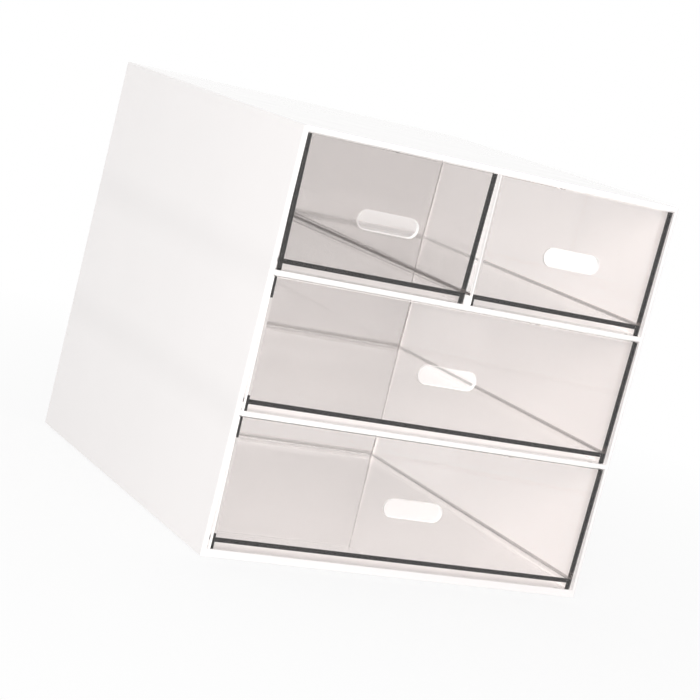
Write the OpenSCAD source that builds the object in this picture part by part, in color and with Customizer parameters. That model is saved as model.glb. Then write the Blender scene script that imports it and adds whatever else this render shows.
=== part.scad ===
// Acrylic make-up organiser: an open-fronted white casing with three tiers that holds
// two half-width drawers above two full-width drawers, all of smoky clear sheet.
// Every piece is a flat sheet; the casing's sheets are bonded together, and so are the
// five sheets of each drawer. The drawers slide out towards the front, -Y.
// Millimetres. Origin: centre of the footprint, on the surface that the pads stand on.
// +X is to the right, seen from the front, +Y to the back and +Z up.

/* [Casing] */
// Width of the casing, outside
case_w = 229; // [180:1:320]
// Depth of the casing, front edge to back face
case_d = 250; // [180:1:320]
// Clear height of each tier, where a drawer stands
tier_h = 70; // [50:0.5:110]
// Thickness of the two side sheets
side_t = 2.5; // [2:0.5:5]
// Thickness of the top sheet
top_t = 2.5; // [2:0.5:5]
// Thickness of the base sheet
base_t = 4; // [3:0.5:6]
// Thickness of the two shelves
shelf_t = 2.5; // [2:0.5:5]
// Thickness of the back sheet
back_t = 2.5; // [2:0.5:5]
// Radius of the polished outside edges: the upright ones and the long top ones
edge_r = 1; // [0.3:0.1:1.5]

/* [Guide rail] */
// Width of the rail between the two upper drawers
rail_w = 3; // [2:0.5:6]
// Height of the rail above the upper shelf
rail_h = 5; // [3:0.5:10]
// Distance from the casing's front edge to the rail's front end
rail_setback = 1; // [0:0.5:10]

/* [Pads] */
// Diameter of each anti-slip pad
pad_d = 12; // [8:1:16]
// Thickness of each pad
pad_t = 1; // [0.8:0.1:2]
// Distance from the casing's outside faces to a pad's centre
pad_inset = 18; // [12:1:30]

/* [Drawers] */
// Thickness of a drawer's front sheet
front_t = 2.5; // [2:0.5:4]
// Thickness of a drawer's side and back sheets
wall_t = 2.5; // [2:0.5:4]
// Thickness of a drawer's floor sheet
floor_t = 2.5; // [2:0.5:4]
// Height of the floor's underside above the foot of the walls
floor_lift = 3.5; // [2:0.5:8]
// How far each side leans in, from the rim down to the foot
side_lean = 1.2; // [0:0.1:2]
// Width of the bevel around the face of a drawer's front
front_bevel = 0.5; // [0.2:0.1:1]

/* [Finger slots] */
// Length of a slot, over its round ends
slot_l = 35; // [24:1:45]
// Height of a slot
slot_h = 10; // [8:0.5:16]
// Height of a slot's middle above the drawer's foot
slot_z = 33; // [20:0.5:40]

/* [Clearances] */
// Gap between a drawer's rim and the casing's side
side_gap = 0.6; // [0.4:0.1:1.5]
// Gap between a drawer's rim and the sheet above it
top_gap = 0.7; // [0.5:0.1:3]
// Gap between a drawer and the back sheet, when it is shut
back_gap = 0.5; // [0.4:0.1:2]
// Gap between the foot of an upper drawer and the guide rail
rail_gap = 0.7; // [0.4:0.1:1.5]

/* [Hidden] */
$fn = 64;

LEFT = -1;
RIGHT = 1;
casing_white = "white";
smoky_clear = [0.80, 0.77, 0.75, 0.45];
pad_clear = [0.85, 0.85, 0.83];

// Casing
front_y = -case_d / 2;
back_y = case_d / 2;
inner_w = case_w - 2 * side_t;
inner_back_y = back_y - back_t;
// Height of the face that the drawers of tier 0, 1 or 2 stand on, counted from the base
function tier_z(tier) = pad_t + base_t + tier * (tier_h + shelf_t);
ceiling_z = tier_z(2) + tier_h;
case_top_z = ceiling_z + top_t;

// Drawers
drawer_h = tier_h - top_gap;
drawer_d = inner_back_y - back_gap - front_y;
floor_top = floor_lift + floor_t;
wide_w = inner_w - 2 * side_gap;
// An upper drawer's rim reaches from this distance off the middle to the casing's side gap
inner_rim_x = rail_w / 2 + rail_gap - side_lean;
half_w = wide_w / 2 - inner_rim_x;
half_x = inner_rim_x + half_w / 2;
// Half of a drawer's outside width at a height above its foot, for a width w at the rim
function half_at(w, height) = w / 2 - side_lean * (1 - height / drawer_h);

// Casing pieces

// What a round edge takes off a square outside corner at the point given, towards +X and Y
module corner_waste(x, y, y_dir) {
    difference() {
        translate([x - edge_r / 2, y - y_dir * edge_r / 2])
            square(edge_r, center = true);
        translate([x - edge_r, y - y_dir * edge_r])
            circle(r = edge_r);
    }
}

// The right-hand side sheet from above, with round outside corners at both ends
module side_plan() {
    difference() {
        translate([inner_w / 2, front_y])
            square([side_t, case_d]);
        for (y_dir = [-1, 1])
            corner_waste(case_w / 2, y_dir * case_d / 2, y_dir);
    }
}

module right_side_sheet() {
    difference() {
        translate([0, 0, pad_t])
            linear_extrude(case_top_z - pad_t)
                side_plan();
        upright(0, front_y, 0, case_d)
            corner_waste(case_w / 2, case_top_z, 1);
    }
}

module casing_side(side) {
    color(casing_white)
        if (side == RIGHT)
            right_side_sheet();
        else
            mirror([1, 0, 0])
                right_side_sheet();
}

// A level sheet between the sides, from the front edge to the depth given
module level_sheet(z, thickness, depth) {
    color(casing_white)
        translate([-inner_w / 2, front_y, z])
            cube([inner_w, depth, thickness]);
}

module casing_top() {
    level_sheet(ceiling_z, top_t, case_d);
}

module casing_base() {
    level_sheet(pad_t, base_t, case_d);
}

module casing_back() {
    color(casing_white)
        translate([-inner_w / 2, inner_back_y, tier_z(0)])
            cube([inner_w, back_t, ceiling_z - tier_z(0)]);
}

module shelf(tier) {
    level_sheet(tier_z(tier) - shelf_t, shelf_t, case_d - back_t);
}

module centre_guide_rail() {
    color(casing_white)
        translate([-rail_w / 2, front_y + rail_setback, tier_z(2)])
            cube([rail_w, inner_back_y - front_y - rail_setback, rail_h]);
}

module anti_slip_pads() {
    color(pad_clear)
        for (x_dir = [-1, 1], y_dir = [-1, 1])
            translate([x_dir * (case_w / 2 - pad_inset), y_dir * (case_d / 2 - pad_inset), 0])
                cylinder(d = pad_d, h = pad_t);
}

// Drawer pieces. x is the middle of the drawer, z its foot and w its width at the rim.

// Stands an outline, drawn with its height along Y, upright across the drawer at depth y
module upright(x, y, z, thickness) {
    translate([x, y + thickness, z])
        rotate([90, 0, 0])
            linear_extrude(thickness)
                children();
}

// The outline between two heights of a sheet whose ends follow the lean of the sides
module leaning_outline(w, low, high, inset) {
    polygon([
        [-half_at(w, low) + inset, low],
        [half_at(w, low) - inset, low],
        [half_at(w, high) - inset, high],
        [-half_at(w, high) + inset, high]
    ]);
}

module slot_outline() {
    square([slot_l - slot_h, slot_h], center = true);
    for (end = [-1, 1])
        translate([end * (slot_l - slot_h) / 2, 0])
            circle(d = slot_h);
}

// A bar along X that cuts the bevel off a front's top edge, when it is put on that edge
module bevel_bar(length) {
    bar = 4 * front_bevel;
    rotate([45, 0, 0])
        translate([0, 0, bar / 2 - front_bevel / sqrt(2)])
            cube([length, bar, bar], center = true);
}

module drawer_front(x, z, w) {
    mid_h = drawer_h / 2;
    side_turn = 90 + atan(side_lean / drawer_h);
    // Each edge's place across and up the face, and how far the bar turns to face outwards there
    edges = [
        [0, drawer_h, 0],
        [0, 0, 180],
        [half_at(w, mid_h), mid_h, side_turn],
        [-half_at(w, mid_h), mid_h, -side_turn]
    ];
    color(smoky_clear)
        difference() {
            upright(x, front_y, z, front_t)
                difference() {
                    leaning_outline(w, 0, drawer_h, 0);
                    translate([0, slot_z])
                        slot_outline();
                }
            for (edge = edges)
                translate([x + edge[0], front_y, z + edge[1]])
                    rotate([0, edge[2], 0])
                        bevel_bar(w + drawer_h);
        }
}

module drawer_wall(x, z, w, side) {
    color(smoky_clear)
        upright(x, front_y + front_t, z, drawer_d - front_t)
            polygon([
                [side * half_at(w, 0), 0],
                [side * half_at(w, drawer_h), drawer_h],
                [side * (half_at(w, drawer_h) - wall_t), drawer_h],
                [side * (half_at(w, 0) - wall_t), 0]
            ]);
}

module drawer_back_wall(x, z, w) {
    color(smoky_clear)
        upright(x, front_y + drawer_d - wall_t, z, wall_t)
            leaning_outline(w, floor_lift, drawer_h, wall_t);
}

module drawer_floor(x, z, w) {
    color(smoky_clear)
        upright(x, front_y + front_t, z, drawer_d - front_t - wall_t)
            leaning_outline(w, floor_lift, floor_top, wall_t);
}

casing_side(LEFT);  // casing_left_side
casing_side(RIGHT);  // casing_right_side
casing_top();
casing_base();
casing_back();
shelf(2);  // upper_shelf
shelf(1);  // lower_shelf
centre_guide_rail();
anti_slip_pads();

drawer_front(-half_x, tier_z(2), half_w);  // upper_left_drawer_front
drawer_wall(-half_x, tier_z(2), half_w, LEFT);  // upper_left_drawer_left_wall
drawer_wall(-half_x, tier_z(2), half_w, RIGHT);  // upper_left_drawer_right_wall
drawer_back_wall(-half_x, tier_z(2), half_w);  // upper_left_drawer_back_wall
drawer_floor(-half_x, tier_z(2), half_w);  // upper_left_drawer_floor

drawer_front(half_x, tier_z(2), half_w);  // upper_right_drawer_front
drawer_wall(half_x, tier_z(2), half_w, LEFT);  // upper_right_drawer_left_wall
drawer_wall(half_x, tier_z(2), half_w, RIGHT);  // upper_right_drawer_right_wall
drawer_back_wall(half_x, tier_z(2), half_w);  // upper_right_drawer_back_wall
drawer_floor(half_x, tier_z(2), half_w);  // upper_right_drawer_floor

drawer_front(0, tier_z(1), wide_w);  // middle_drawer_front
drawer_wall(0, tier_z(1), wide_w, LEFT);  // middle_drawer_left_wall
drawer_wall(0, tier_z(1), wide_w, RIGHT);  // middle_drawer_right_wall
drawer_back_wall(0, tier_z(1), wide_w);  // middle_drawer_back_wall
drawer_floor(0, tier_z(1), wide_w);  // middle_drawer_floor

drawer_front(0, tier_z(0), wide_w);  // bottom_drawer_front
drawer_wall(0, tier_z(0), wide_w, LEFT);  // bottom_drawer_left_wall
drawer_wall(0, tier_z(0), wide_w, RIGHT);  // bottom_drawer_right_wall
drawer_back_wall(0, tier_z(0), wide_w);  // bottom_drawer_back_wall
drawer_floor(0, tier_z(0), wide_w);  // bottom_drawer_floor
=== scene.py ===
"""The looks of an acrylic make-up organiser: an opal white casing with four smoky clear drawers.

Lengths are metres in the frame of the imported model: +X to the right, -Y to the front, +Z up, with
the origin on the table under the middle of the casing. Each solid of the model is shown as it is,
and gets its material here.
"""
import math

import bpy
from mathutils import Matrix, Vector

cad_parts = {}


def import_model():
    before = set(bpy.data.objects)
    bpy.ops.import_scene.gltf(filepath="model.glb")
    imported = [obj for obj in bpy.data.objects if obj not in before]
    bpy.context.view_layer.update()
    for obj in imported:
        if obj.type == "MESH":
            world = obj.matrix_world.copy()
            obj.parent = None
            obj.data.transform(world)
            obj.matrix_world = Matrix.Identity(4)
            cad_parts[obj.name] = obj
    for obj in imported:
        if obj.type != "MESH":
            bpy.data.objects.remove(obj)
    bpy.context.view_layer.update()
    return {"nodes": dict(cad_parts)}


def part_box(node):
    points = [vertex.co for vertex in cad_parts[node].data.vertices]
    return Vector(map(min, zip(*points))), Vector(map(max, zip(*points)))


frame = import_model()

MM = 0.001

# The photograph's view
CAMERA_PLACE = Vector((-578.6, -1072.2, 273.9)) * MM
CAMERA_AIM = Vector((5.4, -5.3, 96.8)) * MM
CAMERA_ROLL = math.radians(14.09)
CAMERA_LENS = 111.0
SENSOR_WIDTH = 36.0
VIEW_DEPTH = 20

# The studio. The floor glows in the share given up to the first of its distances from the middle,
# and wholly from the second on.
LAMP_PLACE = Vector((-1.1, -1.8, 0.8))
LAMP_AIM = Vector((0, 0, 0.11))
LAMP_SIZE = 1.2
LAMP_WATTS = 26
WORLD_LEVEL = 0.65
FLOOR_HALF = 4.0
FLOOR_COLOUR = (0.9, 0.9, 0.9, 1)
FLOOR_GLOW = 0.85
FLOOR_GLOW_RISE = (0.15, 0.6)
WHITE = (1, 1, 1, 1)
BLACK = (0, 0, 0, 1)

# The model's nodes, and the two corners of a node's box
DRAWERS = ("upper_left_drawer", "upper_right_drawer", "middle_drawer", "bottom_drawer")
DRAWER_PARTS = ("front", "left_wall", "right_wall", "back_wall", "floor")
PADS = "anti_slip_pads"
LOW, HIGH = 0, 1

# Smoky sheet: its tint, the density of that to the metre, and what it lets through of a lamp
ACRYLIC_IOR = 1.49
SMOKE_COLOUR = (0.26, 0.188, 0.165, 1)
FRONT_DENSITY = 148.0
TRAY_DENSITY = 26.0
LAMP_THROUGH = (0.95, 0.945, 0.94, 1)
JOINT_GAP = 0.04 * MM
WELD_REACH = 0.001 * MM

# The finger slot of a drawer's front, above its foot, and the lean of a drawer's sides
SLOT_LENGTH = 35 * MM
SLOT_HEIGHT = 10 * MM
SLOT_RISE = 33 * MM
SIDE_LEAN = 1.2 * MM

# A point this near to a face of the casing, a sheet's end or the slot's rim counts as on it
CASING_SKIN = 0.5 * MM
END_SKIN = 0.3 * MM
RIM_SKIN = 0.15 * MM

# Satin on sawn faces, which also carry a painted glow, and cement in the joints and on the ends that
# it holds. A line of cement starts this far below the top of the drawer's floor.
SATIN_ROUGHNESS = 0.45
SAWN = (0.93, 0.91, 0.90, 1)
SAWN_SHARE = 0.9
SAWN_PAINTED_GLOW = 0.3
CEMENT = (0.30, 0.26, 0.24, 1)
CEMENT_ROOT = 0.2 * MM
CEMENTED_END = (0.70, 0.66, 0.64, 1)
CEMENTED_END_SHARE = 0.5

# The sawn front ends of left walls that show: from this far above the foot to this far below the top
WIDE_SAWN_END = (8 * MM, 11 * MM)
INNER_SAWN_END = (6 * MM, 0)

# The lines of cement along the foot of the backs and of the right walls: the height up to which each
# is full and that at which it is gone, its share at the front, and what it loses of that with depth
BACK_LINE = (0.8 * MM, 2.6 * MM)
BACK_LINE_SHARE = 0.2
SIDE_LINE = (0.4 * MM, 1.2 * MM)
SIDE_LINE_SHARE = 0.43
SIDE_LINE_FADE = 0.28

# The bead of cement: its height at the front, where it starts as a part of its height, its share,
# and what its lowest and highest parts add to that
BEAD_HEIGHT = 1.5 * MM
BEAD_ROOT = -0.1
BEAD_SHARE = 0.15
BEAD_EDGE_SHARE = 0.13
BEAD_LOW_EDGE, BEAD_HIGH_EDGE = 0.25, 0.75

# Opal sheet, in the light and in its own shade
OPAL_PALE = (0.958, 0.927, 0.919, 1)
OPAL_SHADED = (0.890, 0.862, 0.854, 1)
# What shades the casing's outer sides: a band along each shelf, full within the first of these
# distances from its middle and gone at the second, the depth up to its middle, and the height below
# this level
SHELF_SHADE = 0.45
SHELF_BAND = (2 * MM, 14 * MM)
DEPTH_SHADE = 0.3
LOW_SHADE = 0.25
LOW_SHADE_TOP = 110 * MM
# The faint clouds in the sheet, the changes in its gloss, and its swell: how many to the metre, and
# how strong
CLOUD_SCALE = 18.0
CLOUD_SHADE = 0.12
CLOUD_NOISE = (0.3, 0.7)
OPAL_ROUGHNESS = 0.06
OPAL_ROUGHNESS_RISE = 0.05
GLOSS_SCALE = 35.0
GLOSS_DETAIL = 4.0
SWELL_SCALE = 60.0
SWELL_STRENGTH = 0.15
SWELL_HEIGHT = 0.02 * MM

# Painted glow on the inner faces for the light the opal sheets let into the bottom, middle and top tier
GLOW_COLOUR = (1.0, 0.985, 0.975, 1)
SIDE_GLOW = (0.68, 0.60, 0.77)
BACK_GLOW = (0.56, 0.36, 0.59)
FLAT_GLOW = (0.49, 0.59, 0.38)
# How much of it the flats lose from left to right, and between these distances from the front edge
FLAT_TILT = 0.1
FLAT_FALL = 0.08
FLAT_FALL_REACH = (60 * MM, 200 * MM)
# How deep the mouth is, over which it rises from nothing, and the last trace that comes after
MOUTH_DEPTH = 12 * MM
MOUTH_TRACE = 0.02
MOUTH_TRACE_REACH = (15 * MM, 80 * MM)

# Silicone of the pads, rougher in its clouds, with its clouds and pebbles to the metre
SILICONE_PALE = (0.86, 0.86, 0.85, 1)
SILICONE_DULL = (0.70, 0.70, 0.69, 1)
SILICONE_ROUGHNESS = 0.35
SILICONE_ROUGHNESS_RISE = 0.2
SILICONE_CLOUD_SCALE = 400.0
PEBBLE_SCALE = 2500.0
PEBBLE_STRENGTH = 0.4
PEBBLE_HEIGHT = 0.05 * MM


class Expr:
    """A socket of a node tree in an expression: each operator adds its Math node."""

    def __init__(self, tree, socket):
        self.tree = tree
        self.socket = socket

    def math(self, operation, *others, clamp=False):
        inputs = dict(enumerate((self, *others)))
        return node(self.tree, "ShaderNodeMath", inputs, operation=operation, use_clamp=clamp)["Value"]

    def __add__(self, other):
        return self.math("ADD", other)

    def __sub__(self, other):
        return self.math("SUBTRACT", other)

    def __mul__(self, other):
        return self.math("MULTIPLY", other)

    def __truediv__(self, other):
        return self.math("DIVIDE", other)

    def __rsub__(self, other):
        return self.math("MULTIPLY_ADD", -1.0, other)

    def __abs__(self):
        return self.math("ABSOLUTE")

    __radd__ = __add__
    __rmul__ = __mul__


def node(tree, kind, inputs=None, **settings):
    """Adds a node: its settings first, then the values or links of its inputs, by number or name.
    Returns its outputs by name."""
    made = tree.nodes.new(kind)
    for name, value in settings.items():
        setattr(made, name, value)
    for key, value in (inputs or {}).items():
        if isinstance(value, Expr):
            tree.links.new(value.socket, made.inputs[key])
        else:
            made.inputs[key].default_value = value
    return {output.identifier: Expr(tree, output) for output in made.outputs}


def blend(tree, share, first, second):
    """The colour that goes evenly from the first to the second as the share goes from 0 to 1. The
    sockets 6 and 7 of a Mix node are its two colours."""
    return node(tree, "ShaderNodeMix", {0: share, 6: first, 7: second}, data_type="RGBA")["Result_Color"]


def cover(tree, share, lower, upper):
    """The lower surface, which the upper one hides in the share given."""
    return node(tree, "ShaderNodeMixShader", {0: share, 1: lower, 2: upper})["Shader"]


def principled(tree, **sockets):
    """The surface with these values or links, its sockets named with _ in place of a space."""
    inputs = {name.replace("_", " "): value for name, value in sockets.items()}
    return node(tree, "ShaderNodeBsdfPrincipled", inputs)["BSDF"]


def new_material(name):
    """An empty node material and its tree."""
    material = bpy.data.materials.new(name)
    material.use_nodes = True
    material.node_tree.nodes.clear()
    return material, material.node_tree


def object_place(tree):
    """The place of the shaded point in the model's frame."""
    return node(tree, "ShaderNodeTexCoord")["Object"]


def coordinates(tree):
    """The x, y and z of the shaded point in the model's frame."""
    return node(tree, "ShaderNodeSeparateXYZ", {0: object_place(tree)}).values()


def noise(tree, scale, detail=2.0):
    """Noise from 0 to 1 on Object coordinates, with about scale swells to the metre."""
    inputs = {"Vector": object_place(tree), "Scale": scale, "Detail": detail}
    return node(tree, "ShaderNodeTexNoise", inputs)["Fac"]


def over(value, level):
    """1 where the value is above the level, otherwise 0."""
    return value.math("GREATER_THAN", level)


def under(value, level):
    """1 where the value is below the level, otherwise 0."""
    return value.math("LESS_THAN", level)


def within(value, low, high):
    """1 where the value lies between low and high, otherwise 0."""
    return over(value, low) * under(value, high)


def slope(value, start, end):
    """Goes evenly from 0 at start to 1 at end, and keeps to that outside them."""
    return (value - start).math("DIVIDE", end - start, clamp=True)


def seen(tree):
    """1 for light on its way to the camera, straight, by a reflection or through a clear sheet,
    otherwise 0."""
    path = node(tree, "ShaderNodeLightPath")
    rays = path["Is Camera Ray"] + path["Is Glossy Ray"] + path["Is Transmission Ray"]
    return rays.math("MINIMUM", 1.0)


def shelf_levels():
    """The heights of the middles of the lower and the upper shelf."""
    return [sum(corner.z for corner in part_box(shelf)) / 2 for shelf in ("lower_shelf", "upper_shelf")]


def by_tier(z, levels):
    """The level of the bottom, the middle or the top tier, parted at the middle of each shelf."""
    low, high = shelf_levels()
    bottom, middle, top = levels
    return (middle - bottom) * over(z, low) + (top - middle) * over(z, high) + bottom


def ends(part, corner, axis="z", top="upper_left_drawer"):
    """The lowest or the highest x, y or z of a part of the bottom, the middle and a top drawer."""
    return [getattr(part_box(f"{drawer}_{part}")[corner], axis)
            for drawer in ("bottom_drawer", "middle_drawer", top)]


def casing_shade(tree, x, y, z):
    """Shade on the casing's outer sides: the sum of a band along each shelf, full within its first
    distance and gone at its second, a rise from the front edge to the middle of the depth, and a
    rise down to the foot. Faint clouds are added on all faces."""
    bands = sum(1 - slope(abs(z - level), *SHELF_BAND) for level in shelf_levels())
    shade = (SHELF_SHADE * bands
             + DEPTH_SHADE * slope(y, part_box("casing_base")[LOW].y, 0.0)
             + LOW_SHADE * slope(z, LOW_SHADE_TOP, 0.0))
    outside = over(abs(x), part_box("casing_right_side")[HIGH].x - CASING_SKIN)
    clouds = CLOUD_SHADE * slope(noise(tree, CLOUD_SCALE), *CLOUD_NOISE)
    return shade * outside + clouds


def painted_inner_glow(x, y, z):
    """The level of the painted glow that stands in for light let through to the casing's inner faces: by
    tier on the sides and on the back, and by tier on the flats, where it falls evenly from left to
    right and with depth. At the mouth it rises evenly from nothing. It is 0 on the outer faces."""
    left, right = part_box("casing_left_side")[HIGH].x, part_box("casing_right_side")[LOW].x
    front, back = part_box("casing_base")[LOW].y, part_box("casing_back")[LOW].y
    bottom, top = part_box("casing_base")[HIGH].z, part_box("casing_top")[LOW].z
    inside = (within(x, left - CASING_SKIN, right + CASING_SKIN)
              * within(y, front + CASING_SKIN, back + CASING_SKIN)
              * within(z, bottom - CASING_SKIN, top + CASING_SKIN))
    on_side = over(abs(x), right - CASING_SKIN)
    on_back = over(y, back - CASING_SKIN)
    depth = y - front
    on_flat = by_tier(z, FLAT_GLOW) * (1 + FLAT_TILT / 2 - FLAT_TILT * slope(x, left, right)
                                       - FLAT_FALL * slope(depth, *FLAT_FALL_REACH))
    level = (on_side * by_tier(z, SIDE_GLOW)
             + (1 - on_side) * (on_back * by_tier(z, BACK_GLOW) + (1 - on_back) * on_flat))
    trace = 1 - MOUTH_TRACE + MOUTH_TRACE * slope(depth, *MOUTH_TRACE_REACH)
    return inside * slope(depth, 0.0, MOUTH_DEPTH) * trace * level


def opal_white_acrylic():
    """White acrylic with faint clouds and a slight swell, with painted shade on the outside and a painted
    glow on the inside."""
    material, tree = new_material("opal_white_acrylic")
    x, y, z = coordinates(tree)
    swell = node(tree, "ShaderNodeBump",
                 {"Strength": SWELL_STRENGTH, "Distance": SWELL_HEIGHT,
                  "Height": noise(tree, SWELL_SCALE)})
    surface = principled(
        tree,
        Base_Color=blend(tree, casing_shade(tree, x, y, z), OPAL_PALE, OPAL_SHADED),
        Roughness=OPAL_ROUGHNESS + OPAL_ROUGHNESS_RISE * noise(tree, GLOSS_SCALE, GLOSS_DETAIL),
        IOR=ACRYLIC_IOR,
        Normal=swell["Normal"],
        # Painted glow on the casing's inner faces
        Emission_Color=blend(tree, painted_inner_glow(x, y, z), BLACK, GLOW_COLOUR),
        Emission_Strength=1.0)
    node(tree, "ShaderNodeOutputMaterial", {"Surface": surface})
    return material


def smoky_clear_acrylic(name, density, finish=None):
    """Clear acrylic with a grey-brown tint that deepens with the length of sheet looked through.
    finish(tree) gives the share, the colour and the painted glow of a satin finish on some of its faces."""
    material, tree = new_material(name)
    clear = principled(tree, Base_Color=WHITE, Roughness=0.0, IOR=ACRYLIC_IOR, Transmission_Weight=1.0)
    lamp_light = node(tree, "ShaderNodeBsdfTransparent", {"Color": LAMP_THROUGH})["BSDF"]
    surface = cover(tree, node(tree, "ShaderNodeLightPath")["Is Shadow Ray"], clear, lamp_light)
    if finish:
        share, colour, glow = finish(tree)
        # The satin carries a painted glow as its emission
        satin = principled(tree, Base_Color=colour, Roughness=SATIN_ROUGHNESS, IOR=ACRYLIC_IOR,
                           Emission_Color=colour, Emission_Strength=glow)
        surface = cover(tree, share, surface, satin)
    tint = node(tree, "ShaderNodeVolumeAbsorption", {"Color": SMOKE_COLOUR, "Density": density})
    node(tree, "ShaderNodeOutputMaterial", {"Surface": surface, "Volume": tint["Volume"]})
    return material


def on_leaning_end(x, z, tops, lean):
    """1 on the leaning end of a sheet, which is at x = tops at the top of the drawer and moves evenly
    by lean down to its foot."""
    high = ends("left_wall", HIGH)
    drop = (by_tier(z, high) - z) / (high[0] - ends("left_wall", LOW)[0])
    return under(abs(x - by_tier(z, tops) - lean * drop), END_SKIN)


def cut_faces(tree):
    """Satin with a painted glow on the cut faces of a drawer's front: those of its finger slot, which are
    within half the slot's height of the line between the middles of its round ends, and its left end."""
    x, y, z = coordinates(tree)
    middle = sum(corner.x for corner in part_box("upper_right_drawer_front")) / 2
    across = abs(abs(x) - by_tier(z, (0.0, 0.0, middle)))
    along = (across - (SLOT_LENGTH - SLOT_HEIGHT) / 2).math("MAXIMUM", 0.0)
    up = z - SLOT_RISE - by_tier(z, ends("front", LOW))
    rim = under((along * along + up * up).math("SQRT"), SLOT_HEIGHT / 2 + RIM_SKIN)
    left_end = on_leaning_end(x, z, ends("front", LOW, "x", "upper_right_drawer"), SIDE_LEAN)
    return rim.math("MAXIMUM", left_end) * SAWN_SHARE, SAWN, SAWN_PAINTED_GLOW


def sawn_end(foot, top):
    """Satin with a painted glow on the front end of a left wall, between these lengths from its foot and its
    top.
    """
    def finish(tree):
        x, y, z = coordinates(tree)
        on_end = under(y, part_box("middle_drawer_left_wall")[LOW].y + END_SKIN)
        above_foot = over(z - by_tier(z, ends("left_wall", LOW)), foot)
        below_top = over(by_tier(z, ends("left_wall", HIGH)) - z, top)
        return on_end * above_foot * below_top * SAWN_SHARE, SAWN, SAWN_PAINTED_GLOW
    return finish


def far(y):
    """0 at the front end of the side walls, 1 at their far end."""
    low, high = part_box("middle_drawer_right_wall")
    return slope(y, low.y, high.y)


def above_floor(z):
    """The height above the top of the drawer's floor."""
    return z - by_tier(z, ends("floor", HIGH))


def cement(tree, rise, full_to, gone_at, share, end):
    """A line of cement, full up to one height above the floor and gone at another, with cement on
    the joined end of the sheet as well."""
    line = over(rise, -CEMENT_ROOT) * slope(rise, gone_at, full_to) * share
    return line.math("MAXIMUM", CEMENTED_END_SHARE * end), blend(tree, end, CEMENT, CEMENTED_END), 0.0


def back_cement(tree):
    """A soft grey line of cement along the foot of a back wall, and cement on its right end."""
    x, y, z = coordinates(tree)
    right_end = on_leaning_end(x, z, ends("back_wall", HIGH, "x", "upper_right_drawer"), -SIDE_LEAN)
    return cement(tree, above_floor(z), *BACK_LINE, BACK_LINE_SHARE, right_end)


def side_cement(tree):
    """A thin grey line of cement along the foot of a right wall, fainter with depth, and cement on
    its far end."""
    x, y, z = coordinates(tree)
    far_end = over(y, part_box("middle_drawer_right_wall")[HIGH].y - END_SKIN)
    share = SIDE_LINE_SHARE - SIDE_LINE_FADE * far(y)
    return cement(tree, above_floor(z), *SIDE_LINE, share, far_end)


def cement_bead(tree):
    """A bead of cement along the foot of a wall, twice as high at its far end as at its front: two
    dark lines, each a quarter of its height, with a paler one between them."""
    x, y, z = coordinates(tree)
    rise = above_floor(z) / (BEAD_HEIGHT + BEAD_HEIGHT * far(y))
    share = (BEAD_SHARE * within(rise, BEAD_ROOT, 1.0)
             + BEAD_EDGE_SHARE * within(rise, BEAD_ROOT, BEAD_LOW_EDGE)
             + BEAD_EDGE_SHARE * within(rise, BEAD_HIGH_EDGE, 1.0))
    return share, CEMENT, 0.0


def clear_silicone():
    """Clear silicone of the anti-slip pads, cloudy and finely pebbled."""
    material, tree = new_material("clear_silicone")
    cloud = noise(tree, SILICONE_CLOUD_SCALE)
    pebbles = node(tree, "ShaderNodeBump",
                   {"Strength": PEBBLE_STRENGTH, "Distance": PEBBLE_HEIGHT,
                    "Height": noise(tree, PEBBLE_SCALE)})
    surface = principled(
        tree,
        Base_Color=blend(tree, cloud, SILICONE_DULL, SILICONE_PALE),
        Roughness=SILICONE_ROUGHNESS + SILICONE_ROUGHNESS_RISE * cloud,
        Normal=pebbles["Normal"])
    node(tree, "ShaderNodeOutputMaterial", {"Surface": surface})
    return material


def dress(material, names):
    """Gives these nodes of the model the material."""
    for name in names:
        mesh = frame["nodes"][name].data
        mesh.materials.clear()
        mesh.materials.append(material)


def dress_casing():
    """Opal sheets, on silicone pads."""
    sheets = [name for name in frame["nodes"] if not name.startswith(DRAWERS) and name != PADS]
    dress(opal_white_acrylic(), sheets)
    dress(clear_silicone(), [PADS])


def dress_drawers():
    """Smoky sheets. The ends and joints that the photograph shows have their own finish."""
    upper_left, upper_right, *wide = DRAWERS
    finishes = [
        # Satin finishes carry a painted glow; cement carries none
        ("smoky_front_acrylic", FRONT_DENSITY, cut_faces, [d + "_front" for d in DRAWERS]),
        ("smoky_floor_acrylic", TRAY_DENSITY, None, [d + "_floor" for d in DRAWERS]),
        ("smoky_back_acrylic", TRAY_DENSITY, back_cement, [d + "_back_wall" for d in DRAWERS]),
        ("smoky_side_acrylic", TRAY_DENSITY, side_cement, [d + "_right_wall" for d in (upper_right, *wide)]),
        ("smoky_divider_acrylic", TRAY_DENSITY, cement_bead, [upper_left + "_right_wall"]),
        ("smoky_left_acrylic", TRAY_DENSITY, sawn_end(*WIDE_SAWN_END), [d + "_left_wall" for d in wide]),
        ("smoky_inner_left_acrylic", TRAY_DENSITY, sawn_end(*INNER_SAWN_END), [upper_right + "_left_wall"]),
        ("smoky_plain_acrylic", TRAY_DENSITY, None, [upper_left + "_left_wall"]),
    ]
    for name, density, finish, sheets in finishes:
        dress(smoky_clear_acrylic(name, density, finish), sheets)


def part_joints():
    """Draws each sheet of the drawers in by a hair, so that the faces of two sheets that meet are
    never one face."""
    for name in [f"{drawer}_{part}" for drawer in DRAWERS for part in DRAWER_PARTS]:
        sheet = frame["nodes"][name]
        weld = sheet.modifiers.new("joined corners", "WELD")
        weld.merge_threshold = WELD_REACH
        shrink = sheet.modifiers.new("joint gap", "DISPLACE")
        shrink.direction = "NORMAL"
        shrink.mid_level = 0
        shrink.strength = -JOINT_GAP


def facing(place, aim):
    """The matrix of a camera or lamp that stands at place and looks at aim."""
    return Matrix.Translation(place) @ (aim - place).to_track_quat("-Z", "Y").to_matrix().to_4x4()


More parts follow.
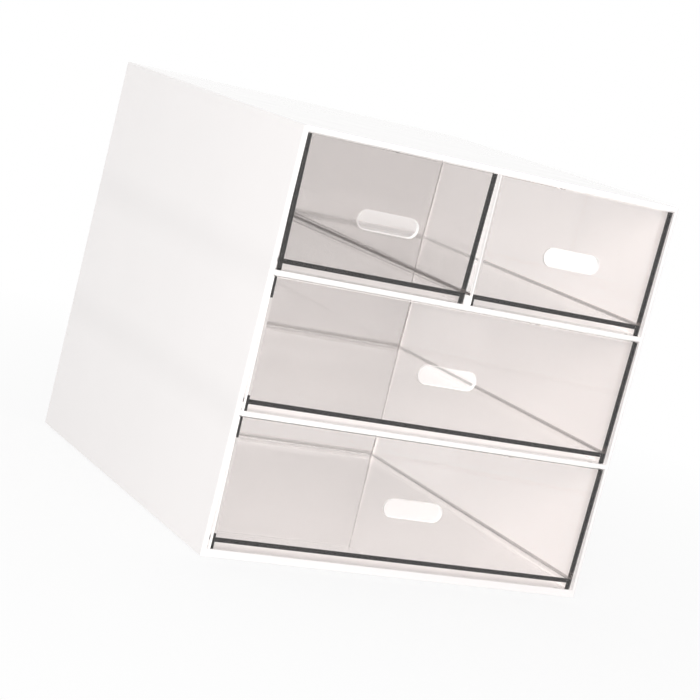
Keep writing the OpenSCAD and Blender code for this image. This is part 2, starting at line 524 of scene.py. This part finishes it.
def camera():
    """The camera looks from its place to its aim, turned about that line by the roll."""
    data = bpy.data.cameras.new("camera")
    data.lens = CAMERA_LENS
    data.sensor_width = SENSOR_WIDTH
    data.clip_end = VIEW_DEPTH
    eye = bpy.data.objects.new("camera", data)
    bpy.context.scene.collection.objects.link(eye)
    eye.matrix_world = facing(CAMERA_PLACE, CAMERA_AIM) @ Matrix.Rotation(CAMERA_ROLL, 4, "Z")
    bpy.context.scene.camera = eye


def key_lamp():
    """A square soft lamp to the left of the camera."""
    data = bpy.data.lights.new("key_lamp", "AREA")
    data.shape = "SQUARE"
    data.size = LAMP_SIZE
    data.energy = LAMP_WATTS
    lamp = bpy.data.objects.new("key_lamp", data)
    bpy.context.scene.collection.objects.link(lamp)
    lamp.matrix_world = facing(LAMP_PLACE, LAMP_AIM)


def world():
    """An even white studio: white where it is seen, and a plain level of light on the object."""
    studio = bpy.data.worlds.new("studio")
    bpy.context.scene.world = studio
    studio.use_nodes = True
    tree = studio.node_tree
    tree.nodes.clear()
    strength = WORLD_LEVEL + (1 - WORLD_LEVEL) * seen(tree)
    glow = node(tree, "ShaderNodeBackground", {"Color": WHITE, "Strength": strength})["Background"]
    node(tree, "ShaderNodeOutputWorld", {"Surface": glow})


def floor():
    """A pale floor, larger than the view. It glows white where it is seen, fully so away from the
    object, and keeps a faint share of shadow close to it."""
    mesh = bpy.data.meshes.new("studio_floor")
    half = FLOOR_HALF
    corners = [(-half, -half, 0), (half, -half, 0), (half, half, 0), (-half, half, 0)]
    mesh.from_pydata(corners, [], [(0, 1, 2, 3)])
    obj = bpy.data.objects.new("studio_floor", mesh)
    bpy.context.scene.collection.objects.link(obj)
    material, tree = new_material("studio_floor")
    x, y, z = coordinates(tree)
    lit = node(tree, "ShaderNodeBsdfDiffuse", {"Color": FLOOR_COLOUR})["BSDF"]
    glow = node(tree, "ShaderNodeEmission", {"Color": WHITE, "Strength": 1.0})["Emission"]
    distance = (x * x + y * y).math("SQRT")
    share = seen(tree) * (FLOOR_GLOW + (1 - FLOOR_GLOW) * slope(distance, *FLOOR_GLOW_RISE))
    node(tree, "ShaderNodeOutputMaterial", {"Surface": cover(tree, share, lit, glow)})
    mesh.materials.append(material)


bpy.context.scene.view_settings.view_transform = "Standard"
cycles = bpy.context.scene.cycles
cycles.max_bounces = 32
cycles.diffuse_bounces = 16
cycles.transmission_bounces = 24
cycles.transparent_max_bounces = 32
camera()
dress_casing()
dress_drawers()
part_joints()
floor()
world()
key_lamp()
